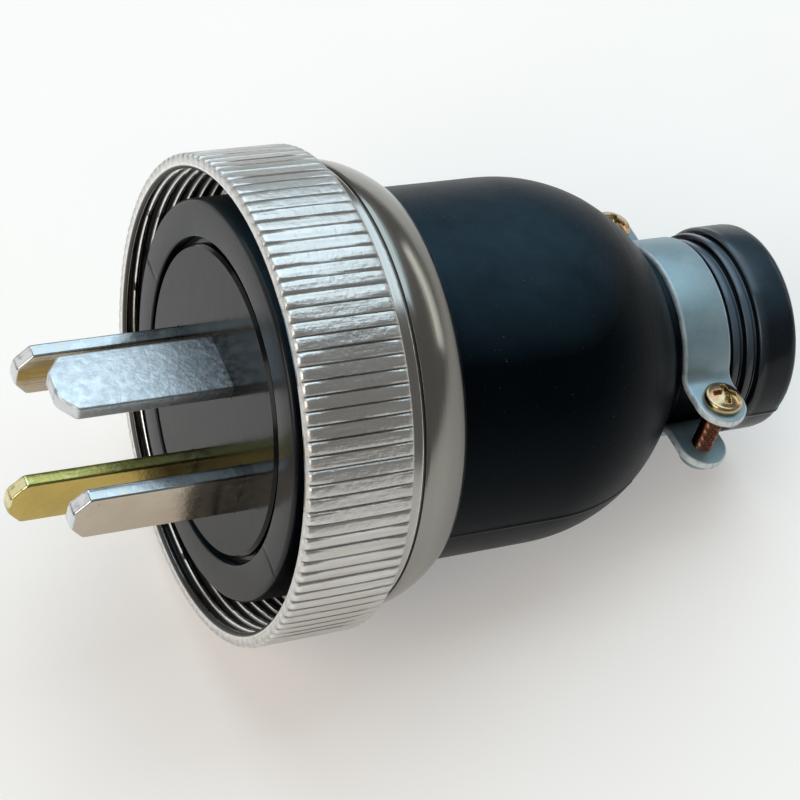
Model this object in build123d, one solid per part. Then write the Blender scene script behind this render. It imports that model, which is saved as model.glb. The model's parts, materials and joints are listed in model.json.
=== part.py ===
from build123d import *
import os
from math import asin, atan2, cos, degrees, hypot, pi, sin, sqrt

os.makedirs("parts", exist_ok=True)

# Sizes are in millimetres. The plug is drawn with its axis along +X, from the contact face to the tail,
# and its plane of symmetry upright. Stations count along the axis from the front rim of the coupling ring.

# Insulating core: the hard moulding that carries the contact blades
core_radius = 20.9
core_plate = 10.3
core_rebate = 0.5
core_rebate_depth = 1.6
face_bevel = 0.4
face_recess = 0.7
snap_bead_height = 1.3
snap_bead_width = 2.4
snap_bead_depth = 5.4
slot_clearance = 0.05
barrier_depth = 15.0
barrier_thickness = 2.0
barrier_hub_drop = 3.0
barrier_upper_angle = 45.0
barrier_lower_angle = -35.0

# Contact blades
blade_thickness = 2.1
blade_edge_break = 0.35
blade_tip_length = 2.1
blade_tip_inset = 2.5
line_reach = 22.5
line_width = 7.5
cross_width = 9.0
earth_reach = 25.4
earth_width = 7.5
side_blade_inset = 8.9
side_blade_drop = 3.2
cross_blade_rise = 6.8
earth_blade_inset = 2.3
tab_shoulder = 1.0
tab_length = 12.0

# Terminals on the blade tabs
terminal_screw_radius = 2.0
terminal_screw_stickout = 2.4
terminal_head_radius = 3.0
terminal_head_height = 2.2
terminal_setback = 5.5
wire_clamp_room = 0.25
wire_clamp_thickness = 0.9
wire_clamp_lip = 1.0

# Rubber cover
cover_fit = 0.05
cover_wall = 4.1
face_groove = 0.4
boss_step = 1.15
boss_length = 17.0
boss_bevel = 0.6
seat_ledge = 1.1
barrel_length = 41.1
dome_wall = 5.0
dome_lip_height = 0.9
dome_lip_width = 1.1
neck_radius = 12.6
neck_length = 8.3
tail_rib_step = 0.65
tail_rib_width = 1.2
tail_groove_depth = 0.5
tail_groove_width = 0.6
tail_ribs = 2
tail_flange_length = 6.4
tail_flange_step = 0.7
tail_round = 0.9
cable_radius = 8.0
cable_mouth = 0.8

# Coupling ring
ring_running_gap = 0.05
ring_end_float = 0.3
socket_gap = 3.8
thread_length = 11.6
ring_wall = 1.6
rim_bevel = 0.3
knurl_length = 14.0
knurl_teeth = 112
knurl_depth = 0.4
knurl_bevel = 0.4
knurl_crest_share = 0.7
collar_drop = 2.2
collar_wall = 2.2
collar_land = 2.2
groove_depth = 0.3
groove_width = 0.4
collar_length = 5.6
collar_rear_wall = 1.9

# Cord clamp: two pressed steel saddles drawn together by two screws
saddle_gap = 0.05
saddle_thickness = 1.2
saddle_width = 7.3
saddle_setback = 0.2
ear_gap = 7.2
ear_screw_spacing = 34.4
clamp_turn = -2.5
saddle_bend = 1.2
clamp_screw_radius = 1.5
clamp_hole_clearance = 0.2
clamp_tap_clearance = 0.05
clamp_head_radius = 2.75
clamp_head_height = 2.0
clamp_screw_stickout = 1.6
burr_wall = 1.1
burr_height = 1.4

# Recess of every screw, as shares of its head
recess_share = 0.62
recess_width_share = 0.22
recess_depth_share = 0.5
head_top_share = 0.66
head_edge_share = 0.45
shank_point_share = 0.3

# Radii that follow from how the pieces nest
disc_radius = core_radius - core_rebate
bead_radius = core_radius + snap_bead_height
cavity_radius = core_radius - seat_ledge
body_radius = core_radius + cover_fit + cover_wall
boss_radius = body_radius + boss_step
collar_bore = body_radius + ring_running_gap
thread_radius = boss_radius + socket_gap
knurl_root = thread_radius + ring_wall
ring_radius = knurl_root + knurl_depth
collar_radius = ring_radius - collar_drop
collar_cavity = collar_radius - groove_depth - collar_wall

# Stations that follow from the lengths
plate_back = face_recess + core_plate
bead_front = face_recess + snap_bead_depth
bead_back = bead_front + snap_bead_width
boss_back = face_recess + boss_length
dome_centre = face_recess + barrel_length
shoulder_at = boss_back + ring_end_float


def outline_face(*edges):
    """Flat face inside a closed outline drawn as (station, radius)."""
    return make_face(Plane.XZ * (Curve() + list(edges)))


def turned(*edges):
    """Solid of revolution about the plug's axis."""
    return revolve(outline_face(*edges), Axis.X)


def tube(start, end, outer, inner):
    """Plain ring about the plug's axis between two stations."""
    return turned(Polyline((start, inner), (start, outer), (end, outer), (end, inner), close=True))


def screw(shank_radius, shank_length, head_radius, head_height, crossed):
    """Pan head screw, head on +Z, bearing face of the head at the origin, with a cross or a plain slot."""
    point = shank_radius * shank_point_share
    side = Polyline(
        (0, head_height),
        (0, -shank_length),
        (shank_radius - point, -shank_length),
        (shank_radius, point - shank_length),
        (shank_radius, 0),
        (head_radius, 0),
        (head_radius, head_height * head_edge_share),
        (head_radius * head_top_share, head_height),
        close=True,
    )
    width = 2 * head_radius * recess_width_share
    depth = head_height * recess_depth_share
    recess = Box(2 * head_radius * recess_share, width, 2 * depth)
    if crossed:
        recess += Rot(Z=90) * recess
    else:
        recess = Box(3 * head_radius, width, 2 * depth)
    return revolve(make_face(Plane.XZ * side), Axis.Z) - Pos(0, 0, head_height) * recess


# Coupling ring: a turned nut, serrated outside, threaded inside, its rounded collar running on the cover
def coupling_ring():
    crest = pi / knurl_teeth * knurl_crest_share
    corners = []
    for tooth in range(knurl_teeth):
        middle = 2 * pi * tooth / knurl_teeth
        for turn, radius in (
            (-crest, ring_radius),
            (crest, ring_radius),
            (pi / knurl_teeth, knurl_root),
        ):
            corners.append((radius * cos(middle + turn), radius * sin(middle + turn)))
    serrated = extrude(Plane.YZ * make_face(Polyline(*corners, close=True)), knurl_length)
    barrel = turned(
        Polyline(
            (0, 0),
            (0, ring_radius - knurl_bevel),
            (knurl_bevel, ring_radius),
            (knurl_length - knurl_bevel, ring_radius),
            (knurl_length, ring_radius - knurl_bevel),
            (knurl_length, 0),
            close=True,
        )
    )
    land_end = knurl_length + collar_land
    groove_end = land_end + groove_width
    rear = shoulder_at + collar_length
    rear_radius = collar_bore + collar_rear_wall
    shoulder_mid = (groove_end + (rear - groove_end) * 0.66, rear_radius + (collar_radius - rear_radius) * 0.58)
    collar = turned(
        Polyline(
            (knurl_length - knurl_bevel, 0),
            (knurl_length - knurl_bevel, collar_radius),
            (land_end, collar_radius),
            (land_end, collar_radius - groove_depth),
            (groove_end, collar_radius - groove_depth),
            (groove_end, collar_radius),
        )
        + ThreePointArc((groove_end, collar_radius), shoulder_mid, (rear, rear_radius))
        + Polyline((rear, rear_radius), (rear, 0), (knurl_length - knurl_bevel, 0))
    )
    thread_end = thread_length + (thread_radius - collar_cavity) * 0.6
    hollow = turned(
        Polyline(
            (-rim_bevel, 0),
            (-rim_bevel, thread_radius + 2 * rim_bevel),
            (rim_bevel, thread_radius),
            (thread_length, thread_radius),
            (thread_end, collar_cavity),
            (shoulder_at, collar_cavity),
            (shoulder_at, collar_bore),
            (rear + collar_length, collar_bore),
            (rear + collar_length, 0),
            close=True,
        )
    )
    return (serrated & barrel) + collar - hollow


# Rubber cover: one moulding with the contact boss, the barrel, the dome, the neck and the ribbed tail
dome_lip_radius = neck_radius + dome_lip_height
dome_end = dome_centre + sqrt(body_radius**2 - dome_lip_radius**2)
neck_start = dome_end + dome_lip_width
neck_end = neck_start + neck_length
rib_pitch = tail_rib_width + tail_groove_width
flange_start = neck_end + tail_ribs * rib_pitch
tail_end = flange_start + tail_flange_length
flange_radius = neck_radius + tail_ribs * tail_rib_step + tail_flange_step
inner_dome = body_radius - dome_wall
inner_dome_end = dome_centre + sqrt(inner_dome**2 - cable_radius**2)


def rubber_cover():
    body = Polyline(
        (face_recess, 0),
        (face_recess, boss_radius - boss_bevel),
        (face_recess + boss_bevel, boss_radius),
        (boss_back, boss_radius),
        (boss_back, body_radius),
        (dome_centre, body_radius),
    )
    half_dome = asin(dome_lip_radius / body_radius) / 2 + pi / 4
    dome_middle = (dome_centre + body_radius * cos(half_dome), body_radius * sin(half_dome))
    dome = ThreePointArc((dome_centre, body_radius), dome_middle, (dome_end, dome_lip_radius))
    tail_corners = [(dome_end, dome_lip_radius), (neck_start, dome_lip_radius), (neck_start, neck_radius)]
    tail_corners.append((neck_end, neck_radius))
    for rib in range(tail_ribs):
        start = neck_end + rib * rib_pitch
        top = neck_radius + (rib + 1) * tail_rib_step
        tail_corners += [
            (start, top),
            (start + tail_rib_width, top),
            (start + tail_rib_width, top - tail_groove_depth),
            (start + rib_pitch, top - tail_groove_depth),
        ]
    tail_corners += [
        (flange_start, flange_radius),
        (tail_end - tail_round, flange_radius),
    ]
    round_middle = tail_round * sqrt(0.5)
    tail_edge = ThreePointArc(
        (tail_end - tail_round, flange_radius),
        (tail_end - tail_round + round_middle, flange_radius - tail_round + round_middle),
        (tail_end, flange_radius - tail_round),
    )
    closing = Polyline((tail_end, flange_radius - tail_round), (tail_end, 0), (face_recess, 0))
    moulding = turned(body + dome + Polyline(*tail_corners) + tail_edge + closing)

    mouth = disc_radius + face_groove + core_rebate
    inside = core_radius + cover_fit
    bead = bead_radius + cover_fit
    front = Polyline(
        (face_recess - 1, 0),
        (face_recess - 1, mouth),
        (face_recess + core_rebate_depth, mouth),
        (face_recess + core_rebate_depth, inside),
        (bead_front - cover_fit, inside),
        (bead_front - cover_fit, bead),
        (bead_back + cover_fit, bead),
        (bead_back + cover_fit, inside),
        (plate_back, inside),
        (plate_back, cavity_radius),
    )
    cavity_end = dome_centre + sqrt(max(inner_dome**2 - cavity_radius**2, 0))
    bore_angle = atan2(cable_radius, inner_dome_end - dome_centre)
    cavity_angle = atan2(cavity_radius, cavity_end - dome_centre)
    mid_angle = (bore_angle + cavity_angle) / 2
    inner_arc = ThreePointArc(
        (cavity_end, cavity_radius),
        (dome_centre + inner_dome * cos(mid_angle), inner_dome * sin(mid_angle)),
        (inner_dome_end, cable_radius),
    )
    bore = Polyline(
        (inner_dome_end, cable_radius),
        (tail_end - cable_mouth, cable_radius),
        (tail_end + cable_mouth, cable_radius + 2 * cable_mouth),
        (tail_end + cable_mouth, 0),
        (face_recess - 1, 0),
    )
    chamber = Line((plate_back, cavity_radius), (cavity_end, cavity_radius))
    return moulding - turned(front + chamber + inner_arc + bore)


# Contact blades: flat bars with cropped tips, shouldered behind the core and tapped for a terminal screw
screw_at = plate_back + terminal_setback


def blade(width, reach):
    """Blade with its width along Z and its thickness along Y, on the plug's axis."""
    half = width / 2
    tip = face_recess - reach
    bar = make_face(
        Plane.XZ
        * Polyline(
            (tip, -half + blade_tip_inset),
            (tip, half - blade_tip_inset),
            (tip + blade_tip_length, half),
            (plate_back, half),
            (plate_back, half + tab_shoulder),
            (plate_back + tab_length, half + tab_shoulder),
            (plate_back + tab_length, -half - tab_shoulder),
            (plate_back, -half - tab_shoulder),
            (plate_back, -half),
            (tip + blade_tip_length, -half),
            close=True,
        )
    )
    solid = extrude(bar, blade_thickness / 2, both=True)
    rims = [edge for edge in solid.edges() if abs(edge.center().Y) > 0.49 * blade_thickness]
    outer = [edge for edge in rims if edge.center().X < face_recess]
    solid = chamfer(outer, blade_edge_break)
    tapped = Rot(X=90) * Cylinder(terminal_screw_radius + slot_clearance, 2 * blade_thickness)
    return solid - Pos(screw_at, 0, 0) * tapped


def wire_clamp():
    """Square washer with two turned-up lips that keep the wire under the head, on the blade's face."""
    half = terminal_head_radius + wire_clamp_room + wire_clamp_thickness
    section = Polyline(
        (-half, 0),
        (half, 0),
        (half, wire_clamp_thickness + wire_clamp_lip),
        (half - wire_clamp_thickness, wire_clamp_thickness + wire_clamp_lip),
        (half - wire_clamp_thickness, wire_clamp_thickness),
        (wire_clamp_thickness - half, wire_clamp_thickness),
        (wire_clamp_thickness - half, wire_clamp_thickness + wire_clamp_lip),
        (-half, wire_clamp_thickness + wire_clamp_lip),
        close=True,
    )
    plate = extrude(Plane.YZ * make_face(section), half, both=True)
    return plate - Cylinder(terminal_screw_radius + 3 * slot_clearance, 8 * wire_clamp_thickness)


# Where each blade stands: the place of its middle and the turn that points its screw outwards
side_offset = core_radius - side_blade_inset
earth_drop = disc_radius - earth_blade_inset - earth_width / 2
blade_seats = {
    "line_1": (line_width, line_reach, Pos(0, side_offset, -side_blade_drop)),
    "line_2": (cross_width, line_reach, Pos(0, 0, cross_blade_rise) * Rot(X=90)),
    "line_3": (line_width, line_reach, Pos(0, -side_offset, -side_blade_drop) * Rot(X=180)),
    "earth": (earth_width, earth_reach, Pos(0, 0, -earth_drop)),
}


# Insulating core: face plate with a snap bead, a slot for each blade and four walls that part the terminals
def insulator_core():
    plate = turned(
        Polyline(
            (face_recess, 0),
            (face_recess, disc_radius - face_bevel),
            (face_recess + face_bevel, disc_radius),
            (face_recess + core_rebate_depth, disc_radius),
            (face_recess + core_rebate_depth, core_radius),
            (bead_front, core_radius),
            (bead_front, bead_radius),
            (bead_back, bead_radius),
            (bead_back, core_radius),
            (plate_back, core_radius),
            (plate_back, 0),
            close=True,
        )
    )
    walls = Part()
    span = cavity_radius + barrier_hub_drop
    one_side = (barrier_upper_angle, barrier_lower_angle)
    for angle in one_side + tuple(180 - angle for angle in one_side):
        arm = Box(barrier_depth, span, barrier_thickness, align=(Align.MIN, Align.MIN, Align.CENTER))
        walls += Pos(plate_back, 0, -barrier_hub_drop) * Rot(X=angle) * arm
    room = tube(plate_back, plate_back + barrier_depth, cavity_radius - ring_end_float, 0)
    core = plate + (walls & room)
    for width, reach, seat in blade_seats.values():
        slot = Box(4 * core_plate, blade_thickness + 2 * slot_clearance, width + 2 * slot_clearance)
        opening = Pos(plate_back, 0, 0) * slot
        core -= seat * opening & tube(face_recess - 1, plate_back, core_radius, 0)
    return core


# Cord clamp: an upper and a lower saddle round the neck, with ears for the screws
saddle_inner = neck_radius + saddle_gap
saddle_outer = saddle_inner + saddle_thickness
saddle_start = neck_start + saddle_setback
saddle_middle = saddle_start + saddle_width / 2
ear_under = ear_gap / 2
ear_top = ear_under + saddle_thickness
screw_side = ear_screw_spacing / 2


def saddle(hole_radius):
    """Upper saddle: an arch with two flat ears, cut to a strip with round ends and pierced for screws."""
    reach = ear_screw_spacing + saddle_width
    foot = 2 * sqrt(saddle_inner**2 - ear_under**2)
    above = Pos(0, ear_under + reach / 2) * Rectangle(2 * reach, reach)
    arch = (Circle(saddle_outer) - Circle(saddle_inner)) & above
    strip = Pos(0, ear_under + saddle_thickness / 2) * Rectangle(reach, saddle_thickness)
    section = arch + (strip - Circle(saddle_inner))
    on_ears = [corner for corner in section.vertices() if abs(corner.Y - ear_top) < 1e-6]
    bends = [corner for corner in on_ears if foot / 2 < abs(corner.X) < screw_side]
    section = fillet(bends, saddle_bend)
    pressed = extrude(Plane.YZ * section, saddle_width)
    plan = SlotCenterToCenter(ear_screw_spacing, saddle_width, rotation=90)
    strip_shape = Pos(saddle_width / 2, 0, 0) * extrude(plan, 2 * saddle_outer)
    pressed = pressed & strip_shape
    for side in (-screw_side, screw_side):
        pressed -= Pos(saddle_width / 2, side, 0) * Cylinder(hole_radius, 4 * saddle_outer)
    return Pos(saddle_start, 0, 0) * pressed


def lower_saddle():
    """Lower saddle: the same pressing turned over, its holes drawn into collars for the screw thread."""
    bore = clamp_screw_radius + clamp_tap_clearance
    pressed = Rot(X=180) * saddle(bore)
    collar = Cylinder(bore + burr_wall, burr_height) - Cylinder(bore, burr_height)
    for side in (-screw_side, screw_side):
        pressed += Pos(saddle_middle, side, -ear_top - burr_height / 2) * collar
    return pressed


# Assembly, drawn along the axis; the clamp sits a little turned on the neck
turned_clamp = Rot(X=clamp_turn)
pieces = {
    "coupling_ring": coupling_ring(),
    "rubber_cover": rubber_cover(),
    "insulator_core": insulator_core(),
    "clamp_saddle_upper": turned_clamp * saddle(clamp_screw_radius + clamp_hole_clearance),
    "clamp_saddle_lower": turned_clamp * lower_saddle(),
}
clamp_screw_length = 2 * ear_top + burr_height + clamp_screw_stickout
clamp_screw = screw(clamp_screw_radius, clamp_screw_length, clamp_head_radius, clamp_head_height, True)
for name, side in (("left", screw_side), ("right", -screw_side)):
    pieces["clamp_screw_" + name] = turned_clamp * Pos(saddle_middle, side, ear_top) * clamp_screw

terminal_screw_length = wire_clamp_thickness + blade_thickness + terminal_screw_stickout
terminal_screw = screw(
    terminal_screw_radius,
    terminal_screw_length,
    terminal_head_radius,
    terminal_head_height,
    False,
)
on_tab = Pos(screw_at, blade_thickness / 2, 0) * Rot(X=-90)
for name, (width, reach, seat) in blade_seats.items():
    pieces["blade_" + name] = seat * blade(width, reach)
    pieces["wire_clamp_" + name] = seat * on_tab * wire_clamp()
    pieces["terminal_screw_" + name] = seat * on_tab * Pos(0, 0, wire_clamp_thickness) * terminal_screw

# Laid down as it comes to rest: on the rear edge of the serrations and on the dome behind the barrel
to_dome = dome_centre - (knurl_length - knurl_bevel)
lean = degrees(atan2(ring_radius, to_dome) - asin(body_radius / hypot(to_dome, ring_radius)))
leaning = {name: Rot(Y=lean) * piece for name, piece in pieces.items()}
boxes = [piece.bounding_box() for piece in leaning.values()]
middle_x = (min(box.min.X for box in boxes) + max(box.max.X for box in boxes)) / 2
middle_y = (min(box.min.Y for box in boxes) + max(box.max.Y for box in boxes)) / 2
floor = min(box.min.Z for box in boxes)
for name, piece in leaning.items():
    export_step(Pos(-middle_x, -middle_y, -floor) * piece, "parts/" + name + ".step")
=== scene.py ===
import json
from math import cos, pi, radians, sin

import bpy
import numpy as np
from mathutils import Matrix


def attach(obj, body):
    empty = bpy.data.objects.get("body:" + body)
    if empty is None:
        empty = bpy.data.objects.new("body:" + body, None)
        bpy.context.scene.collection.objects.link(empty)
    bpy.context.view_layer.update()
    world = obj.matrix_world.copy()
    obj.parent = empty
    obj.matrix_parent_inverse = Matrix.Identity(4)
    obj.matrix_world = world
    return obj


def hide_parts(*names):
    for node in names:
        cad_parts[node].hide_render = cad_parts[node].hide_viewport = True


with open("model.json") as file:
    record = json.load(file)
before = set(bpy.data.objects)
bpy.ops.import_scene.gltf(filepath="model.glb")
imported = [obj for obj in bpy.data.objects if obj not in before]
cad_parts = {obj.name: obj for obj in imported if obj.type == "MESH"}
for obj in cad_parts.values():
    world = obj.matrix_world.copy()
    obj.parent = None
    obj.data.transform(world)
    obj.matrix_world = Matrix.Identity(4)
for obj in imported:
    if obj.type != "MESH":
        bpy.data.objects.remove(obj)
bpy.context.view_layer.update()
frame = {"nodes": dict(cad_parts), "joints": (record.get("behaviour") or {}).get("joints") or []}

# Contact blades
# Four flat bars of copper alloy, cropped at the tip and pressed through slots in the core. The three line
# blades are tin plated, the longer earth blade is left as plain rolled brass.
blade_face = 0.7
blade_back = 11.0
blade_tab = 12.0
blade_shoulder = 1.0
blade_thickness = 2.1
blade_edge = 0.38
blade_crop_length = 2.1
blade_crop_inset = 2.5
crop_softness = 0.006
crop_fade = 0.3
root_shade_reach = 8.0
shoulder_station = 18.0
per_metre = 1000.0
ring_turn = frame["joints"][0]
axis_along = np.array(ring_turn["axis"]) / np.linalg.norm(ring_turn["axis"])
axis_across = np.array([0.0, 1.0, 0.0])
axis_rise = np.cross(axis_along, axis_across)
plug_axes = np.stack([axis_along, axis_across, axis_rise])
shoulder_point = np.array(ring_turn["pos_m"])
tilt = np.arctan2(-axis_along[2], axis_along[0])


def place(station, across, rise):
    """Millimetres along the plug's axis, across and up it, as metres in the shared frame: the shoulder's
    point plus each distance times its own direction."""
    steps = np.stack(np.broadcast_arrays(station - shoulder_station, across, rise), axis=-1) / per_metre
    return shoulder_point + steps @ plug_axes


def skin(name, *stacks, crease=38.0):
    """Mesh over stacks of closed rings. A stack is (rings, joined): neighbours on a ring and on the next ring
    make a quad; a joined stack closes on itself, any other ends in two flat faces. Each stack is turned so
    that the sum of face centre times face area, its volume, is positive, which points the faces outwards."""
    points, faces, start = [], [], 0
    for rings, joined in stacks:
        count, around = rings.shape[:2]
        index = np.arange(count * around).reshape(count, around)
        low = index if joined else index[:-1]
        high = np.roll(index, -1, axis=0) if joined else index[1:]
        quads = np.stack([low, np.roll(low, -1, 1), np.roll(high, -1, 1), high], -1).reshape(-1, 4)
        flat = rings.reshape(-1, 3)
        corner = flat[quads] - flat.mean(0)
        area = np.cross(corner[:, 2] - corner[:, 0], corner[:, 3] - corner[:, 1])
        inward = (corner.mean(1) * area).sum() < 0
        stack_faces = (quads[:, ::-1] if inward else quads) + start
        faces += stack_faces.tolist()
        if not joined:
            ends = [index[0][::-1], index[-1]]
            faces += [((end[::-1] if inward else end) + start).tolist() for end in ends]
        points.append(flat)
        start += len(flat)
    mesh = bpy.data.meshes.new(name)
    mesh.from_pydata(np.concatenate(points), [], faces)
    mesh.polygons.foreach_set("use_smooth", np.ones(len(mesh.polygons), bool))
    mesh.set_sharp_from_angle(angle=radians(crease))
    mesh.update()
    piece = bpy.data.objects.new(name, mesh)
    bpy.context.scene.collection.objects.link(piece)
    return piece


def mark(piece, name, *values):
    """Stores one number for each point of a piece's mesh, under a name that its material reads."""
    marks = piece.data.attributes.new(name, "FLOAT", "POINT")
    marks.data.foreach_set("value", np.concatenate([np.ravel(value) for value in values]).astype(np.float32))


def bar_section(half_thick, half_wide, corner, steps=5):
    """Rounded rectangle: four quarter circles of the corner radius, each about its own corner centre.
    The sizes are columns, one row of points for each section. The third result marks the narrow sides: the
    share of the corner's own direction that points along the width."""
    quarter = np.linspace(0, pi / 2, steps)
    turn = np.concatenate([quarter + quarter_turn * pi / 2 for quarter_turn in range(4)])
    side_thick = np.repeat([1, -1, -1, 1], steps)
    side_wide = np.repeat([1, 1, -1, -1], steps)
    thick = side_thick * (half_thick - corner)[:, None] + corner[:, None] * np.cos(turn)
    wide = side_wide * (half_wide - corner)[:, None] + corner[:, None] * np.sin(turn)
    return thick, wide, np.abs(np.sin(turn)) + 0 * wide


def blade_rings(width, reach):
    """Bar section carried along the axis. The half width grows over the crop along a hyperbola that hugs the
    two straight outlines, the last edge break follows a quarter circle, and the tab steps out by a shoulder.
    The narrow sides are marked up to a half and the cropped tip up to one."""
    tip = blade_face - reach
    roll = np.linspace(0, pi / 2, 5)
    rounded = tip + blade_edge * (1 - np.cos(roll))
    crop = tip + np.linspace(blade_edge * 1.4, 1.6 * blade_crop_length, 16)
    body = np.linspace(tip + 2 * blade_crop_length, blade_back, 8)
    tab = np.array([blade_back, blade_back + blade_tab])
    station = np.concatenate([rounded, crop, body, tab])
    draw_in = np.zeros(len(station))
    draw_in[: len(roll)] = blade_edge * (1 - np.sin(roll))
    left = 1 - (station - tip) / blade_crop_length
    crop_inset = blade_crop_inset * (left + np.sqrt(left**2 + crop_softness)) / 2
    half_wide = width / 2 - crop_inset - draw_in
    half_wide[-len(tab) :] += blade_shoulder
    half_thick = blade_thickness / 2 - draw_in
    corner = np.minimum(np.full(len(station), blade_edge), 0.8 * half_thick)
    thick, wide, edge = bar_section(half_thick, half_wide, corner)
    on_crop = np.clip(1 - (station - tip - blade_crop_length) / crop_fade, 0, 1)[:, None]
    edge = edge * (0.5 + 0.5 * on_crop)
    edge[: len(roll)] = 1.0
    return station[:, None], thick, wide, edge


def wire(tree, kind, inputs=None, **settings):
    """Adds a node, sets its settings, and gives each named or numbered input a value or the output of
    another node."""
    node = tree.nodes.new(kind)
    for name, value in settings.items():
        setattr(node, name, value)
    for key, value in (inputs or {}).items():
        if isinstance(value, bpy.types.NodeSocket):
            tree.links.new(value, node.inputs[key])
        else:
            node.inputs[key].default_value = value
    return node


def effect(name, inputs, outputs):
    """Empty shader node group with named inputs and outputs: its tree, what it is given, and a function that
    ends it with its results."""
    tree = bpy.data.node_groups.new(name, "ShaderNodeTree")
    for label, kind, value in inputs:
        socket = tree.interface.new_socket(label, in_out="INPUT", socket_type=kind)
        if value is not None:
            socket.default_value = value
    for label, kind in outputs:
        tree.interface.new_socket(label, in_out="OUTPUT", socket_type=kind)
    entry = tree.nodes.new("NodeGroupInput")

    def end(results):
        wire(tree, "NodeGroupOutput", results)

    return tree, entry.outputs, end


def finish_named(name, **constants):
    """New material with one Principled shader whose plain numbers are set on its own sockets."""
    material = bpy.data.materials.new(name)
    material.use_nodes = True
    tree = material.node_tree
    shader = tree.nodes["Principled BSDF"]
    for socket, value in constants.items():
        shader.inputs[socket.replace("_", " ")].default_value = value
    return material, tree, shader


def feed(tree, shader, **sources):
    """Links sockets of a shader to what changes over the surface."""
    for socket, source in sources.items():
        tree.links.new(source, shader.inputs[socket.replace("_", " ")])


def relief(tree, shader, height, strength, distance):
    """Bumps on the surface: a height times a distance in metres, shown in part by the strength."""
    bump = wire(tree, "ShaderNodeBump", {"Strength": strength, "Distance": distance, "Height": height})
    feed(tree, shader, Normal=bump.outputs[0])


def dress(piece, material):
    """Gives a piece one material in place of any that it has."""
    piece.data.materials.clear()
    piece.data.materials.append(material)


def use(tree, group, inputs=None):
    """Places a node group in a material with its own input values."""
    return wire(tree, "ShaderNodeGroup", inputs, node_tree=group).outputs


def mask_of(tree, group, spot_on, **sizes):
    """The mask of a node group round a place, with its own sizes."""
    return use(tree, group, {"Place": spot_on, **sizes})["Mask"]


def blended(tree, amount, first, second):
    """Colour between two colours by a mask."""
    return wire(tree, "ShaderNodeMix", {0: amount, 6: first, 7: second}, data_type="RGBA").outputs[2]


def ranged(tree, value, low, high, out_low, out_high):
    """A value moved from one range to another and kept inside it."""
    limits = {"From Min": low, "From Max": high, "To Min": out_low, "To Max": out_high}
    return wire(tree, "ShaderNodeMapRange", {"Value": value, **limits}).outputs[0]


def maths(tree, operation, first, second=0.0):
    """One arithmetic step."""
    return wire(tree, "ShaderNodeMath", {0: first, 1: second}, operation=operation).outputs[0]


def times(tree, first, second):
    """The product of two values."""
    return maths(tree, "MULTIPLY", first, second)


def plus(tree, first, second):
    """The sum of two values."""
    return maths(tree, "ADD", first, second)


def parts_of(tree, vector):
    """The three numbers of a vector."""
    return wire(tree, "ShaderNodeSeparateXYZ", {0: vector}).outputs


def vector_of(tree, first, second, third):
    """A vector of three numbers."""
    return wire(tree, "ShaderNodeCombineXYZ", {0: first, 1: second, 2: third}).outputs[0]


def cloud_at(tree, spot_on, scale, detail, roughness=0.5):
    """A cloud of noise round a place, from 0 to 1."""
    inputs = {"Vector": spot_on, "Scale": scale, "Detail": detail, "Roughness": roughness}
    return wire(tree, "ShaderNodeTexNoise", inputs).outputs["Fac"]


# Place on the plug in millimetres: along its axis, across and up, with the turn and distance round the axis
plug_place, given, end = effect(
    "place on the plug",
    [],
    [("Place", "NodeSocketVector"), ("Turn", "NodeSocketFloat"), ("Radius", "NodeSocketFloat")],
)
shift = np.array([shoulder_station, 0, 0]) - per_metre * plug_axes @ shoulder_point
here = wire(plug_place, "ShaderNodeTexCoord").outputs["Object"]
to_plug = {"Location": tuple(shift), "Rotation": (0, -tilt, 0), "Scale": (per_metre, per_metre, per_metre)}
local = wire(plug_place, "ShaderNodeMapping", {"Vector": here, **to_plug}).outputs[0]
parts = parts_of(plug_place, local)
turned = maths(plug_place, "ARCTAN2", parts[2], parts[1])
sideways = maths(plug_place, "POWER", parts[1], 2.0)
upward = maths(plug_place, "POWER", parts[2], 2.0)
radius = maths(plug_place, "SQRT", plus(plug_place, sideways, upward))
end({"Place": local, "Turn": turned, "Radius": radius})

# Stains: cloudy patches of a given size in millimetres, a share of the surface, softer or harder at the edge
stains, given, end = effect(
    "stains",
    [
        ("Place", "NodeSocketVector", None),
        ("Size", "NodeSocketFloat", 4.0),
        ("Level", "NodeSocketFloat", 0.5),
        ("Softness", "NodeSocketFloat", 0.15),
    ],
    [("Mask", "NodeSocketFloat")],
)
fineness = maths(stains, "DIVIDE", 1.0, given["Size"])
cloud = cloud_at(stains, given["Place"], fineness, 6.0, 0.62)
low = maths(stains, "SUBTRACT", given["Level"], given["Softness"])
high = plus(stains, given["Level"], given["Softness"])
end({"Mask": ranged(stains, cloud, low, high, 0.0, 1.0)})

# Hairlines: thin marks along the first axis of a place, from two stretched clouds of unlike width
hairlines, given, end = effect(
    "hairlines",
    [
        ("Place", "NodeSocketVector", None),
        ("Width", "NodeSocketFloat", 0.3),
        ("Length", "NodeSocketFloat", 12.0),
    ],
    [("Mask", "NodeSocketFloat")],
)
parts = parts_of(hairlines, given["Place"])
marks = []
for share in (1.0, 2.7):
    long = times(hairlines, given["Length"], share)
    wide = times(hairlines, given["Width"], share)
    stretched = [maths(hairlines, "DIVIDE", part, span) for part, span in zip(parts, (long, wide, wide))]
    marks.append(cloud_at(hairlines, vector_of(hairlines, *stretched), 1.0, 2.0))
both = times(hairlines, plus(hairlines, *marks), 0.5)
end({"Mask": ranged(hairlines, both, 0.32, 0.68, 0.0, 1.0)})
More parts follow.
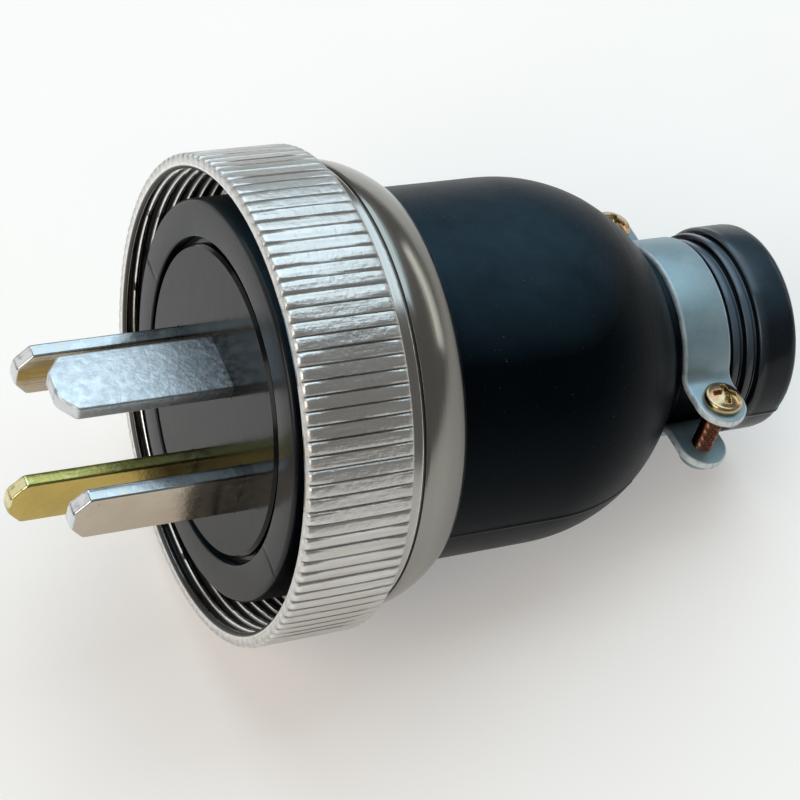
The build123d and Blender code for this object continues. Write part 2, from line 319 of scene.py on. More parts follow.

# Edge wear and painted edge highlight: the marked edges of a piece, broken up by a cloud
edge_wear_and_highlight, given, end = effect(
    "edge wear and highlight",
    [("Place", "NodeSocketVector", None), ("Size", "NodeSocketFloat", 1.0)],
    [("Mask", "NodeSocketFloat")],
)
marked = wire(edge_wear_and_highlight, "ShaderNodeAttribute", attribute_name="edge").outputs["Fac"]
fineness = maths(edge_wear_and_highlight, "DIVIDE", 1.0, given["Size"])
cloud = cloud_at(edge_wear_and_highlight, given["Place"], fineness, 3.0)
worn = ranged(edge_wear_and_highlight, cloud, 0.3, 0.6, 0.45, 1.0)
end({"Mask": times(edge_wear_and_highlight, marked, worn)})

worn_tin = (0.72, 0.74, 0.76, 1)
grey_side = (0.40, 0.44, 0.46, 1)
blade_speck = (0.18, 0.16, 0.13, 1)
painted_root_shade = (0.06, 0.06, 0.06, 1)


def blade_finish(name, metal, tarnish, sheared, rubbed, roughness, mottling):
    """Rolled strip: hairlines along the blade, mottled plating, a tarnish that warms and dulls it in clouds,
    darker sheared sides, a tip rubbed bright by the socket, small dark spots, and painted shade at the root."""
    material, tree, shader = finish_named(name, Metallic=1.0)
    spot_on = use(tree, plug_place)["Place"]
    lines = mask_of(tree, hairlines, spot_on, Width=0.22, Length=14.0)
    mottle = mask_of(tree, stains, spot_on, Size=1.1, Level=0.5, Softness=0.14)
    cloudy = mask_of(tree, stains, spot_on, Size=5.5, Level=0.5, Softness=0.2)
    specks = mask_of(tree, stains, spot_on, Size=0.8, Level=0.7, Softness=0.05)
    edges = mask_of(tree, edge_wear_and_highlight, spot_on, Size=1.5)
    patchy = plus(tree, times(tree, cloudy, 0.5), times(tree, mottle, mottling))
    colour = blended(tree, patchy, metal, tarnish)
    colour = blended(tree, ranged(tree, edges, 0.0, 0.4, 0.0, 0.95), colour, sheared)
    colour = blended(tree, ranged(tree, edges, 0.45, 0.75, 0.0, 0.95), colour, rubbed)
    colour = blended(tree, times(tree, specks, 0.5), colour, blade_speck)
    # Painted shade: the blade darkens towards its root, where it meets the core's face
    along = parts_of(tree, spot_on)[0]
    at_root = ranged(tree, along, blade_face - root_shade_reach, blade_face, 0.0, 0.8)
    at_root = times(tree, at_root, ranged(tree, mottle, 0.0, 1.0, 0.3, 1.0))
    colour = blended(tree, at_root, colour, painted_root_shade)
    brushed = ranged(tree, lines, 0.0, 1.0, roughness - 0.03, roughness + 0.04)
    dull = plus(tree, brushed, times(tree, mottle, 0.25 * mottling))
    feed(tree, shader, Base_Color=colour, Roughness=dull)
    height = plus(tree, lines, times(tree, mottle, 6 * mottling))
    relief(tree, shader, height, strength=0.2, distance=0.00006)
    return material


# The upright line blades' warm brownish tin is partly tarnish and partly a painted warm reflection on their
# faces
smooth_tin = blade_finish(
    "smooth tin",
    metal=(0.54, 0.47, 0.38, 1),
    tarnish=(0.44, 0.37, 0.28, 1),
    sheared=grey_side,
    rubbed=worn_tin,
    roughness=0.17,
    mottling=0.1,
)
mottled_tin = blade_finish(
    "mottled tin",
    metal=(0.62, 0.66, 0.69, 1),
    tarnish=(0.44, 0.46, 0.47, 1),
    sheared=grey_side,
    rubbed=worn_tin,
    roughness=0.36,
    mottling=0.45,
)
rolled_brass = blade_finish(
    "rolled brass",
    metal=(0.60, 0.46, 0.14, 1),
    tarnish=(0.44, 0.33, 0.10, 1),
    sheared=(0.31, 0.29, 0.09, 1),
    rubbed=(0.80, 0.74, 0.44, 1),
    roughness=0.19,
    mottling=0.15,
)
# Each blade's width, reach past the face, place across and up, whether it lies flat, its metal and its slot
blades = {
    "line_1": (7.5, 22.5, 12.0, -3.2, False, smooth_tin, "plated_blade"),
    "line_2": (9.0, 22.5, 0.0, 6.8, True, mottled_tin, "plated_blade"),
    "line_3": (7.5, 22.5, -12.0, -3.2, False, smooth_tin, "plated_blade"),
    "earth": (7.5, 25.4, 0.0, -14.35, False, rolled_brass, "earth_brass"),
}
for name, (width, reach, across, rise, lying, metal, slot) in blades.items():
    station, thick, wide, edge = blade_rings(width, reach)
    if lying:
        points = place(station, across - wide, rise + thick)
    else:
        points = place(station, across + thick, rise + wide)
    blade = skin("contact_blade_" + name, (points, False))
    mark(blade, "edge", edge)
    dress(blade, metal)
    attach(blade, "plug")
    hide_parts("blade_" + name)

# Insulating core
# Hard black moulding with a polished face, pressed into the mouth of the cover and held by a bead behind it.
# Its face is left bare. Four walls behind the face part the terminals.
core_black = (0.002, 0.002, 0.002, 1)
core_grey = (0.005, 0.005, 0.005, 1)
core_speck = (0.13, 0.12, 0.11, 1)
core_plastic, tree, shader = finish_named("core plastic", Metallic=0.0, Specular_IOR_Level=0.17, IOR=1.5)
spot_on = use(tree, plug_place)["Place"]
cloudy = mask_of(tree, stains, spot_on, Size=9.0, Level=0.5, Softness=0.25)
specks = mask_of(tree, stains, spot_on, Size=0.5, Level=0.69, Softness=0.06)
colour = blended(tree, cloudy, core_black, core_grey)
colour = blended(tree, times(tree, specks, 0.5), colour, core_speck)
feed(tree, shader, Base_Color=colour, Roughness=ranged(tree, cloudy, 0.0, 1.0, 0.10, 0.18))
orange_peel = cloud_at(tree, spot_on, 0.35, 3.0)
relief(tree, shader, orange_peel, strength=0.08, distance=0.0003)
dress(frame["nodes"]["insulator_core"], core_plastic)

# Terminals
# A nickel-plated screw in each blade's tab, over a square washer with turned-up lips that holds the wire.
# They are hidden in the cover.
nickel_bright = (0.66, 0.65, 0.61, 1)
nickel_dull = (0.50, 0.48, 0.43, 1)
terminal_nickel, tree, shader = finish_named("terminal nickel", Metallic=1.0)
spot_on = use(tree, plug_place)["Place"]
cloudy = mask_of(tree, stains, spot_on, Size=1.5, Level=0.5, Softness=0.2)
colour = blended(tree, cloudy, nickel_bright, nickel_dull)
feed(tree, shader, Base_Color=colour, Roughness=ranged(tree, cloudy, 0.0, 1.0, 0.24, 0.38))
for name in blades:
    for kind in ("terminal_screw_", "wire_clamp_"):
        dress(frame["nodes"][kind + name], terminal_nickel)

# Rubber cover
# One black rubber moulding: a boss round the core, a barrel, a dome, and a neck with ribs and a thick tail
# round the cord's inlet. It is moulded in two halves of a tool, which leaves a fine seam on both sides.
boss_front = 0.7
boss_back = 17.7
boss_radius = 26.2
mouth_radius = 21.3
mouth_depth = 2.3
seat_radius = 20.95
seat_back = 11.0
bead_radius = 22.25
bead_front = 6.05
bead_back = 8.55
barrel_radius = 25.05
barrel_run = 8
dome_start = 0.06
dome_middle = 41.8
dome_lip_radius = 13.5
dome_lip_width = 1.1
neck_radius = 12.6
neck_length = 8.3
rib_step = 0.65
rib_width = 1.2
rib_gap = 0.6
rib_gap_depth = 0.5
tail_length = 6.4
tail_radius = 14.6
cord_radius = 8.0
inlet_chamfer = 0.8
chamber_radius = 19.8
chamber_dome = 20.05
whole_leg = 9.0
seam_height = 0.13
seam_width = 0.3
seam_drop = radians(8)
seam_gather = 0.4
face_groove = 1.4
oval_swell = 0.06
oval_turn = 0.7
oval_length = 9.0
three_sided_swell = 0.04
three_sided_length = 13.0


def eased(corners, steps=5, most_of_leg=0.45):
    """Outline with soft corners: each corner, given as (station, radius, cut), is swapped for a parabola that
    leaves one leg and meets the other at the cut's distance, never more than a share of a leg."""
    corner = np.array([(station, radius) for station, radius, cut in corners], float)
    cut = np.array([cut for station, radius, cut in corners], float)
    back = np.roll(corner, 1, 0) - corner
    ahead = np.roll(corner, -1, 0) - corner
    back_length = np.linalg.norm(back, axis=1)
    ahead_length = np.linalg.norm(ahead, axis=1)
    leave = corner + back / back_length[:, None] * np.minimum(cut, most_of_leg * back_length)[:, None]
    meet = corner + ahead / ahead_length[:, None] * np.minimum(cut, most_of_leg * ahead_length)[:, None]
    t = np.linspace(0, 1, steps)[None, :, None]
    curve = (1 - t) ** 2 * leave[:, None] + 2 * t * (1 - t) * corner[:, None] + t**2 * meet[:, None]
    return curve.reshape(-1, 2)


def dome_arc(radius, swing):
    """Corners on a circle about the dome's middle, each cut over the whole of its legs."""
    return [(dome_middle + radius * cos(angle), radius * sin(angle), whole_leg) for angle in swing]


dome_end = dome_middle + np.sqrt(barrel_radius**2 - dome_lip_radius**2)
neck_start = dome_end + dome_lip_width
neck_end = neck_start + neck_length
tail_start = neck_end + 2 * (rib_width + rib_gap)
tail_end = tail_start + tail_length
front_outline = [
    (boss_front, mouth_radius, 0.3),
    (boss_front, boss_radius, 0.7),
    (boss_back, boss_radius, 0.5),
    (boss_back, barrel_radius, 0.3),
    (dome_middle - barrel_run, barrel_radius, 0.1),
    (dome_middle, barrel_radius, 0.1),
]
outer_swing = pi / 2 - np.linspace(dome_start, pi / 2 - np.arcsin(dome_lip_radius / barrel_radius), 18)
tail_outline = [
    (dome_end + 0.3, dome_lip_radius, 0.25),
    (neck_start, dome_lip_radius, 0.35),
    (neck_start, neck_radius, 0.3),
    (neck_end, neck_radius, 0.2),
]
for rib in range(2):
    rib_start = neck_end + rib * (rib_width + rib_gap)
    rib_top = neck_radius + (rib + 1) * rib_step
    tail_outline += [
        (rib_start, rib_top, 0.3),
        (rib_start + rib_width, rib_top, 0.3),
        (rib_start + rib_width, rib_top - rib_gap_depth, 0.2),
        (rib_start + rib_width + rib_gap, rib_top - rib_gap_depth, 0.2),
    ]
tail_outline += [
    (tail_start, tail_radius, 0.7),
    (tail_end, tail_radius, 1.6),
    (tail_end, cord_radius + inlet_chamfer, 0.5),
    (tail_end - inlet_chamfer, cord_radius, 0.5),
    (neck_start, cord_radius, 0.3),
]
inlet_turn = np.arcsin(cord_radius / chamber_dome)
inner_swing = np.linspace(inlet_turn, np.arcsin(chamber_radius / chamber_dome), 9)
mouth_outline = [
    (seat_back, chamber_radius, 0.2),
    (seat_back, seat_radius, 0.2),
    (bead_back, seat_radius, 0.2),
    (bead_back, bead_radius, 0.2),
    (bead_front, bead_radius, 0.2),
    (bead_front, seat_radius, 0.2),
    (mouth_depth, seat_radius, 0.1),
    (mouth_depth, mouth_radius, 0.1),
]
outer_dome = dome_arc(barrel_radius, outer_swing)
inner_dome = dome_arc(chamber_dome, inner_swing)
outline = eased(front_outline + outer_dome + tail_outline + inner_dome + mouth_outline)

# The points crowd towards the seam, which is raised on the outside and a shallow groove on the boss's face
walk = np.linspace(0, 2 * pi, 264, endpoint=False)
turn = walk - seam_gather * np.sin(2 * walk)
around = turn + seam_drop * (1 - np.cos(walk)) / 2
station = np.repeat(outline[:, :1], len(around), axis=1)
radius = np.repeat(outline[:, 1:], len(around), axis=1)
off_seam = np.abs(np.sin(turn)) * radius
seam = seam_height * np.exp(-((off_seam / seam_width) ** 2))
outside = (outline[:, 1:] > chamber_radius + 1.6) | (outline[:, :1] > dome_end)
outside &= outline[:, 1:] > cord_radius + 1
outside &= outline[:, :1] > boss_back + 0.4
swell = oval_swell * np.sin(2 * around + oval_turn) * np.sin(station / oval_length)
swell = swell + three_sided_swell * np.sin(3 * around + station / three_sided_length)
radius = radius + np.where(outside, seam + swell, 0.0)
on_face = (outline[:, :1] < boss_front + 0.05) & (outline[:, 1:] > mouth_radius + 0.3)
station = station + np.where(on_face, face_groove * seam, 0.0)
cover_points = place(station, radius * np.cos(around), radius * np.sin(around))
cover = skin("rubber_cover_moulding", (cover_points, True))

# Settled dust: fine pale specks that lie thicker where the surface faces up
dust, given, end = effect(
    "settled dust",
    [
        ("Place", "NodeSocketVector", None),
        ("Speck", "NodeSocketFloat", 0.5),
        ("Amount", "NodeSocketFloat", 0.5),
    ],
    [("Mask", "NodeSocketFloat")],
)
facing = parts_of(dust, wire(dust, "ShaderNodeNewGeometry").outputs["Normal"])[2]
lying = ranged(dust, facing, -0.3, 1.0, 0.15, 1.0)
grain_size = maths(dust, "DIVIDE", 1.0, given["Speck"])
grains = ranged(dust, cloud_at(dust, given["Place"], grain_size, 4.0, 0.7), 0.68, 0.74, 0.0, 1.0)
drifts = ranged(dust, cloud_at(dust, given["Place"], 0.12, 3.0), 0.35, 0.7, 0.1, 1.0)
amount = times(dust, times(dust, grains, drifts), lying)
end({"Mask": times(dust, amount, given["Amount"])})

rubber_black = (0.0004, 0.0014, 0.0026, 1)
rubber_grey = (0.0010, 0.0024, 0.0038, 1)
rubber_painted_sheen = (0.018, 0.036, 0.050, 1)
face_painted_reflection = (0.010, 0.010, 0.010, 1)
rib_crest_painted_glint = (0.075, 0.110, 0.145, 1)
dust_grey = (0.30, 0.31, 0.33, 1)
rubber, tree, shader = finish_named(
    "moulded rubber",
    Metallic=0.0,
    IOR=1.5,
    Specular_IOR_Level=0.05,
    Specular_Tint=(0.6, 0.85, 1.0, 1),
    Coat_Roughness=0.18,
    Coat_IOR=1.5,
)
spot_on = use(tree, plug_place)["Place"]
along = parts_of(tree, spot_on)[0]
facing = parts_of(tree, wire(tree, "ShaderNodeNewGeometry").outputs["Normal"])[2]
cloudy = mask_of(tree, stains, spot_on, Size=11.0, Level=0.5, Softness=0.25)
mottle = mask_of(tree, stains, spot_on, Size=4.5, Level=0.5, Softness=0.22)
dusty = mask_of(tree, dust, spot_on, Speck=0.45, Amount=0.8)
colour = blended(tree, cloudy, rubber_black, rubber_grey)
# Painted sheen: a patchy bluish grey where the rubber faces up, in place of a highlight from above
patchy = plus(tree, times(tree, cloudy, 0.4), times(tree, mottle, 0.4))
painted_sheen = ranged(tree, facing, 0.74, 0.97, 0.0, 1.0)
painted_sheen = times(tree, painted_sheen, ranged(tree, patchy, 0.0, 0.8, 0.45, 1.2))
colour = blended(tree, painted_sheen, colour, rubber_painted_sheen)
# Painted reflection lightens the face of the boss, and a painted glint lightens the crests of the ribs where
# they face up
rubbed = ranged(tree, along, boss_front + 0.15, boss_front + 0.6, 0.75, 0.0)
colour = blended(tree, rubbed, colour, face_painted_reflection)
on_ribs = ranged(tree, along, neck_end - 0.3, neck_end, 0.0, 1.0)
on_ribs = times(tree, on_ribs, ranged(tree, along, tail_start, tail_start + 1.5, 1.0, 0.3))
# Painted glint on the upper side of the rib crests
glint_on_crests = times(tree, on_ribs, ranged(tree, facing, 0.35, 0.85, 0.0, 0.9))
glint_on_crests = times(tree, glint_on_crests, ranged(tree, along, tail_start, tail_start + 0.4, 1.0, 0.4))
colour = blended(tree, glint_on_crests, colour, rib_crest_painted_glint)
colour = blended(tree, dusty, colour, dust_grey)
dull = plus(tree, ranged(tree, cloudy, 0.0, 1.0, 0.30, 0.40), times(tree, dusty, 0.3))
# The ribs and the face are smoother than the rest, as a coat
on_boss = ranged(tree, along, boss_front + 0.4, boss_front + 1.2, 0.46, 0.0)
polished = maths(tree, "MAXIMUM", on_ribs, on_boss)
feed(tree, shader, Base_Color=colour, Roughness=dull, Coat_Weight=polished)
grain = cloud_at(tree, spot_on, 2.6, 5.0, 0.6)
relief(tree, shader, grain, strength=0.35, distance=0.00012)
dress(cover, rubber)
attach(cover, "plug")
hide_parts("rubber_cover")

# Coupling ring
# Turned aluminium nut: straight serrations rolled round the outside, a fine thread cut in the bore, a groove
# and a rounded collar behind. The collar runs loose on the barrel, so that the ring turns by hand.
ring_radius = 32.0
serrations = 112
serration_depth = 0.4
serration_end = 14.0
serration_bevel = 0.4
bevel_roundness = 0.75
tooth_mean = 0.94
tooth_spread = 0.05
tooth_least = 0.8
tooth_most = 0.98
lean_spread = 0.10
bead_reach = 0.4
notch_depth = 0.22
notch_reach = 0.35
wear_reach = 0.5
collar_radius = 29.8
collar_land_end = 16.2
groove_end = 16.6
groove_depth = 0.3
crown_drop = 0.05
crown_roundness = 1.9
collar_end = 23.6
collar_rear_radius = 27.0
collar_bore = 25.1
collar_cavity = 27.3
cavity_front = 13.22
thread_radius = 30.0
thread_depth = 0.75
thread_pitch = 1.7
thread_start = 0.5
thread_end = 11.6
thread_lead_in = 0.3
thread_runout = 0.6
crest_share = 0.44
rim_chamfer = 0.45

# Points of one tooth from its crest through the valley to the next tooth, and what each one does
tooth_place = np.array([0, 0.25, 0.40, 0.50, 0.60, 0.75])
tooth_height = np.array([1, 1, 1, 0, 1, 1])
tooth_rounding = np.array([0, 0.15, 0.75, 0, 0.75, 0.15])
tooth_bead = np.array([1, 0.8, 0.35, 0, 0.35, 0.8])
tooth_side = np.array([0, 0.6, 1, 0, -1, -0.6])
ring_turns = 2 * pi * (np.arange(serrations)[:, None] + tooth_place).ravel() / serrations
chance = np.random.default_rng(7)


def per_tooth(values):
    """One value for each tooth, repeated for its crest, its far side and the valley, and from the next tooth
    for that tooth's near side."""
    own = values[:, None]
    return np.concatenate([np.repeat(own, 4, axis=1), np.repeat(np.roll(own, -1, axis=0), 2, axis=1)], axis=1)


tooth_size = per_tooth(np.clip(chance.normal(tooth_mean, tooth_spread, serrations), tooth_least, tooth_most))
tooth_lean = per_tooth(chance.normal(0, lean_spread, serrations)) * tooth_side
tooth_form = (tooth_height * np.minimum(tooth_size + tooth_lean, tooth_most)).ravel()
root_radius = ring_radius - serration_depth
front_rows = np.linspace(0, serration_bevel, 6)
middle_rows = np.array([0.9, 4.0, 7.0, 10.0, 13.1])
rear_rows = serration_end - np.linspace(serration_bevel, 0, 4)
band = np.concatenate([front_rows, middle_rows, rear_rows])
from_end = np.minimum(band, serration_end - band)[:, None]
end_curve = np.clip(from_end / serration_bevel, 0, 1) ** bevel_roundness
tooth = tooth_form * (1 - np.exp(-from_end / bead_reach) * np.tile(tooth_rounding, serrations))
front_notch = notch_depth * np.exp(-band[:, None] / notch_reach) * (1 - np.tile(tooth_bead, serrations))
band_radius = root_radius + serration_depth * np.minimum(end_curve, tooth) - front_notch
collar_arc = np.linspace(0, 1, 13)
crown_top = collar_radius - crown_drop
crown = crown_top - (crown_top - collar_rear_radius) * collar_arc**crown_roundness
crown_station = groove_end + crown_drop + (collar_end - groove_end - crown_drop) * collar_arc
collar_side = np.array(
    [
        (serration_end, root_radius - 0.15),
        (serration_end, collar_radius + 0.2),
        (serration_end + 0.2, collar_radius),
        (serration_end + 0.35, collar_radius),
        (collar_land_end - 0.2, collar_radius),
        (collar_land_end - 0.08, collar_radius),
        (collar_land_end, collar_radius - 0.08),
        (collar_land_end, collar_radius - groove_depth),
        (groove_end, collar_radius - groove_depth),
        (groove_end, collar_radius - 0.1),
    ]
)
collar_back = np.array(
    [
        (collar_end, collar_rear_radius - 0.15),
        (collar_end, collar_bore + 0.2),
        (collar_end - 0.2, collar_bore),
        (shoulder_station, collar_bore),
        (shoulder_station, collar_cavity),
        (cavity_front, collar_cavity),
    ]
)
collar_side = np.concatenate([collar_side, np.stack([crown_station, crown], -1), collar_back])
thread_station = np.linspace(thread_end, thread_start, 92)[:, None]
thread_phase = np.mod(thread_station / thread_pitch + ring_turns / (2 * pi), 1.0)
run_in = np.clip((thread_station - thread_start) / thread_lead_in, 0, 1)
run_out = np.clip((thread_end - thread_station) / thread_runout, 0, 1)
thread_cut = np.clip(2.0 * (1 - np.abs(2 * thread_phase - 1)) - crest_share, 0, 1) * run_in * run_out
bore_radius = thread_radius + thread_depth * thread_cut
rim = np.array(
    [
        (rim_chamfer, thread_radius + 0.02),
        (0.1, thread_radius + rim_chamfer - 0.08),
        (0, thread_radius + rim_chamfer + 0.06),
    ]
)


def all_round(column):
    """A column of sizes repeated for every turn round the ring."""
    return np.repeat(np.asarray(column, float).reshape(-1, 1), len(ring_turns), axis=1)


ring_rows = (band, collar_side[:, 0], thread_station, rim[:, 0])
ring_station = np.concatenate([all_round(rows) for rows in ring_rows])
ring_profile = np.concatenate([band_radius, all_round(collar_side[:, 1]), bore_radius, all_round(rim[:, 1])])
ring_points = place(ring_station, ring_profile * np.cos(ring_turns), ring_profile * np.sin(ring_turns))
ring = skin("coupling_ring_nut", (ring_points, True), crease=58.0)

# Marks by rows of the band, collar, thread and rim: dirt in the serrations' valleys, painted shade in the
# groove, the thread's roots, the rim's chamfer and the hollow behind, and wear with painted highlight on the
# edges and crests
land_edge = slice(5, 7)
groove_floor = slice(7, 9)
rear_edge = slice(22, 24)
hidden_rows = slice(-3, None)
band_valley = 0.25 * np.clip(1 - (band_radius - root_radius) / serration_depth, 0, 1)
collar_valley = np.zeros(len(collar_side))
collar_valley[groove_floor] = 0.7
collar_valley[hidden_rows] = 1.0
faces_front = thread_phase > 0.5
thread_valley = np.clip(np.where(faces_front, 4.0 * thread_cut - 0.9, 6.0 * thread_cut), 0, 1)
rim_valley = np.array([1.0, 0.9, 0.0])
mark(ring, "valley", band_valley, all_round(collar_valley), thread_valley, all_round(rim_valley))
band_edge = np.exp(-((band[:, None] / wear_reach) ** 2)) * (0.55 + 0.45 * np.tile(tooth_bead, serrations))
collar_edge = np.zeros(len(collar_side))
collar_edge[land_edge] = 0.8
collar_edge[rear_edge] = 0.7
rim_edge = np.array([0.0, 0.3, 0.9])
mark(ring, "edge", band_edge, all_round(collar_edge), 1 - thread_valley, all_round(rim_edge))

aluminium_grey = (0.52, 0.505, 0.475, 1)
aluminium_pale = (0.68, 0.67, 0.65, 1)
aluminium_stain = (0.50, 0.465, 0.42, 1)
ring_speck = (0.30, 0.27, 0.23, 1)
collar_painted_reflection_front = (0.23, 0.22, 0.195, 1)
collar_painted_reflection_rear = (0.11, 0.105, 0.090, 1)
bright_edge_wear_and_highlight = (0.94, 0.93, 0.91, 1)
valley_dirt_and_painted_shade = (0.030, 0.028, 0.026, 1)
ring_metal, tree, shader = finish_named("turned aluminium", Metallic=1.0)
ring_place = use(tree, plug_place)
spot_on = ring_place["Place"]
along = parts_of(tree, spot_on)[0]
round_length = times(tree, ring_place["Turn"], thread_radius)
unrolled = vector_of(tree, round_length, along, ring_place["Radius"])
lengthways = vector_of(tree, along, round_length, ring_place["Radius"])
lathe = mask_of(tree, hairlines, unrolled, Width=0.16, Length=22.0)
rolled = mask_of(tree, hairlines, lengthways, Width=0.5, Length=9.0)
cloudy = mask_of(tree, stains, spot_on, Size=8.0, Level=0.52, Softness=0.25)
specks = mask_of(tree, stains, spot_on, Size=0.7, Level=0.68, Softness=0.06)
edges = mask_of(tree, edge_wear_and_highlight, spot_on, Size=0.8)
dirt_and_painted_shade = wire(tree, "ShaderNodeAttribute", attribute_name="valley").outputs["Fac"]
# The serrated band is rolled, everything else is turned on a lathe
before_collar = ranged(tree, along, serration_end - 0.1, serration_end + 0.1, 1.0, 0.0)
beyond_bore = ranged(tree, ring_place["Radius"], thread_radius + 0.8, thread_radius + 0.9, 0.0, 1.0)
on_band = times(tree, before_collar, beyond_bore)
texture = wire(tree, "ShaderNodeMix", {0: on_band, 2: lathe, 3: rolled}, data_type="FLOAT").outputs[0]
colour = blended(tree, texture, aluminium_grey, aluminium_pale)
colour = blended(tree, times(tree, cloudy, 0.5), colour, aluminium_stain)
colour = blended(tree, times(tree, specks, 0.35), colour, ring_speck)
# Painted reflection darkens the collar from its land back, most of all towards its rear
on_land = ranged(tree, along, serration_end + 0.02, serration_end + 0.1, 0.0, 0.55)
collar_reflection_share = plus(tree, ranged(tree, along, collar_land_end, groove_end, 0.0, 0.35), on_land)
outside = ranged(tree, ring_place["Radius"], collar_cavity - 0.6, collar_cavity - 0.3, 0.0, 1.0)
rearward = ranged(tree, along, groove_end + 2.5, collar_end - 0.6, 0.0, 1.0)
painted_collar_reflection = blended(tree, rearward, collar_painted_reflection_front, collar_painted_reflection_rear)
colour = blended(tree, times(tree, collar_reflection_share, outside), colour, painted_collar_reflection)
# Wear and painted highlight: the marked edges, the front rim and the thread's crests turn almost white
colour = blended(tree, edges, colour, bright_edge_wear_and_highlight)
# Painted shade in the recesses and dirt in the serrations' valleys turn the marked valleys almost black
colour = blended(tree, times(tree, dirt_and_painted_shade, 0.96), colour, valley_dirt_and_painted_shade)
dull = plus(tree, ranged(tree, on_band, 0.0, 1.0, 0.22, 0.40), times(tree, texture, -0.06))
dull = plus(tree, dull, times(tree, dirt_and_painted_shade, 0.3))
feed(tree, shader, Base_Color=colour, Roughness=dull)
glints = times(tree, times(tree, cloud_at(tree, spot_on, 1.3, 3.0), on_band), 2.5)
tooling = times(tree, texture, ranged(tree, on_band, 0.0, 1.0, 0.12, 1.0))
relief(tree, shader, plus(tree, tooling, glints), strength=0.5, distance=0.00008)
dress(ring, ring_metal)
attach(ring, "ring")
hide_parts("coupling_ring")

# Cord clamp saddles
# Two strips pressed from zinc-plated steel, bent over the neck and out into round ears. The lower one's holes
# are drawn down into short collars that take the screw thread. The pair sits a little turned on the neck.
strip_thickness = 1.2
strip_width = 7.3
strip_edge = 0.4
strip_front = neck_start + 0.2
strip_middle = strip_front + strip_width / 2
saddle_play = 0.05
saddle_radius = neck_radius + saddle_play + strip_thickness / 2
ear_lift = 3.6
ear_height = ear_lift + strip_thickness / 2
ear_screw = 17.2
ear_bend = 1.9
clamp_turn = radians(-2.5)
collar_inner = 1.55
collar_outer = 2.65
collar_height = 1.4
collar_overlap = 0.2


def clamp_place(station, across, rise):
    """A point of the clamp, turned about the plug's axis as the clamp sits on the neck."""
    turned_across = across * cos(clamp_turn) - rise * sin(clamp_turn)
    turned_rise = across * sin(clamp_turn) + rise * cos(clamp_turn)
    return place(station, turned_across, turned_rise)


def saddle_rings(below):
    """Bar section carried along the bent line of the strip: the round end of an ear, the ear, a soft bend,
    the arch over the neck, and the same back again. Half the width follows a half circle at the ends."""
    half_width = strip_width / 2
    foot = np.sqrt(saddle_radius**2 - ear_height**2)
    round_end = np.linspace(radians(86), 0, 12)
    ear = np.linspace(ear_screw, foot + ear_bend, 6)[1:]
    ear_across = np.concatenate([ear_screw + half_width * np.sin(round_end), ear])
    ear_half = np.concatenate([half_width * np.cos(round_end), np.full(len(ear), half_width)])
    rising = np.arcsin(ear_height / saddle_radius) + ear_bend / saddle_radius
    arch = np.linspace(rising, pi / 2, 24)
    t = np.linspace(0, 1, 9)[1:-1]
    arch_start = saddle_radius * np.array([cos(rising), sin(rising)])
    bend_across = (1 - t) ** 2 * (foot + ear_bend) + 2 * t * (1 - t) * foot + t**2 * arch_start[0]
    bend_rise = (1 - t) ** 2 * ear_height + 2 * t * (1 - t) * ear_height + t**2 * arch_start[1]
    across = np.concatenate([ear_across, bend_across, saddle_radius * np.cos(arch)])
    rise = np.concatenate([np.full(len(ear_across), ear_height), bend_rise, saddle_radius * np.sin(arch)])
    half = np.concatenate([ear_half, np.full(len(t) + len(arch), half_width)])
    across = np.concatenate([across, -across[-2::-1]])
    rise = np.concatenate([rise, rise[-2::-1]])
    half = np.concatenate([half, half[-2::-1]])
    along_path = np.stack([np.gradient(across), np.gradient(rise)], -1)
    along_path /= np.linalg.norm(along_path, axis=1)[:, None]
    corner = np.minimum(strip_edge, 0.8 * half)
    thick, wide, edge = bar_section(np.full(len(half), strip_thickness / 2), half, corner)
    ring_across = across[:, None] + thick * along_path[:, 1:]
    ring_rise = rise[:, None] - thick * along_path[:, :1]
    flip = -1 if below else 1
    return clamp_place(strip_middle + wide, flip * ring_across, flip * ring_rise), edge


def collar_rings(across):
    """Short tube below an ear: a rounded square outline turned about the screw's line."""
    top = -(ear_height + strip_thickness / 2 - collar_overlap)
    low = -(ear_height + strip_thickness / 2 + collar_height)
    corners = [
        (collar_inner, top, 0.1),
        (collar_outer, top, 0.1),
        (collar_outer, low, 0.4),
        (collar_inner, low, 0.2),
    ]
    outline = eased(corners)
    turn = np.linspace(0, 2 * pi, 40, endpoint=False)
    radius, rise = outline[:, :1], outline[:, 1:]
    return clamp_place(strip_middle + radius * np.cos(turn), across + radius * np.sin(turn), rise + 0 * turn)


zinc_deep = (0.23, 0.34, 0.38, 1)
zinc_pale = (0.33, 0.43, 0.46, 1)
zinc_spangle = (0.24, 0.30, 0.34, 1)
zinc_edge_wear_and_highlight = (0.90, 0.94, 0.95, 1)
bright_zinc, tree, shader = finish_named("bright zinc")
spot_on = use(tree, plug_place)["Place"]
cloudy = mask_of(tree, stains, spot_on, Size=3.5, Level=0.5, Softness=0.25)
spangle = mask_of(tree, stains, spot_on, Size=0.7, Level=0.6, Softness=0.1)
edges = mask_of(tree, edge_wear_and_highlight, spot_on, Size=1.2)
colour = blended(tree, cloudy, zinc_deep, zinc_pale)
colour = blended(tree, times(tree, spangle, 0.4), colour, zinc_spangle)
